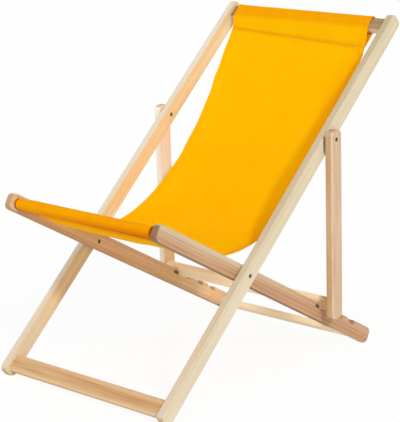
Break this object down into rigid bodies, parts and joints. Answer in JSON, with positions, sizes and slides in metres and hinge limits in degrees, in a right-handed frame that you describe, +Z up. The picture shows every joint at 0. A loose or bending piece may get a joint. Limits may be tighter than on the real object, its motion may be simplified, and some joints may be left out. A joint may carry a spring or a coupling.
{
  "type": "folding deck chair",
  "caption": "Folding wooden deck chair: hinged timber frames, notched seat rails that a prop bar rests in, and a hung cloth sling that forms the seat and back.",
  "frame": {"origin": "on the floor, under the middle of the chair's box", "axes": "+Z up, -Y towards the front, where the sitter's feet are, +X to the right of someone who faces the chair"},
  "size_m": [0.5852, 0.8894, 0.8497],
  "materials": {
    "timber": "oiled pale hardwood, satin",
    "cloth": "plain woven canvas, matt",
    "steel": "dull zinc"
  },
  "bodies": {
    "back_frame": {"long_rail_left": "timber", "long_rail_right": "timber", "head_bar": "timber", "foot_stretcher": "timber", "sling": "cloth", "seat_pivot_bolt_left": "steel", "seat_pivot_bolt_right": "steel", "seat_pivot_nut_left": "steel", "seat_pivot_nut_right": "steel", "seat_pivot_washer_left": "steel", "seat_pivot_washer_right": "steel", "prop_pivot_bolt_left": "steel", "prop_pivot_bolt_right": "steel", "prop_pivot_nut_left": "steel", "prop_pivot_nut_right": "steel", "prop_pivot_washer_left": "steel", "prop_pivot_washer_right": "steel"},
    "seat_frame": {"seat_rail_left": "timber", "seat_rail_right": "timber", "seat_front_bar": "timber", "rear_stretcher": "timber"},
    "prop_frame": {"prop_strut_left": "timber", "prop_strut_right": "timber", "prop_bar": "timber"}
  },
  "joints": [
    {"name": "seat_fold", "type": "hinge", "parent": "back_frame", "child": "seat_frame", "pos_m": [0, -0.1417, 0.28835], "axis": [1, 0, 0], "range_deg": [0, 71.9], "deforming": ["sling"]},
    {"name": "prop_fold", "type": "hinge", "parent": "back_frame", "child": "prop_frame", "pos_m": [0, 0.15616, 0.57299], "axis": [1, 0, 0], "range_deg": [0, 131.3]}
  ],
  "couplings": [
    {"joint": "prop_fold", "follows": "seat_fold", "ratio": 1.8261}
  ]
}
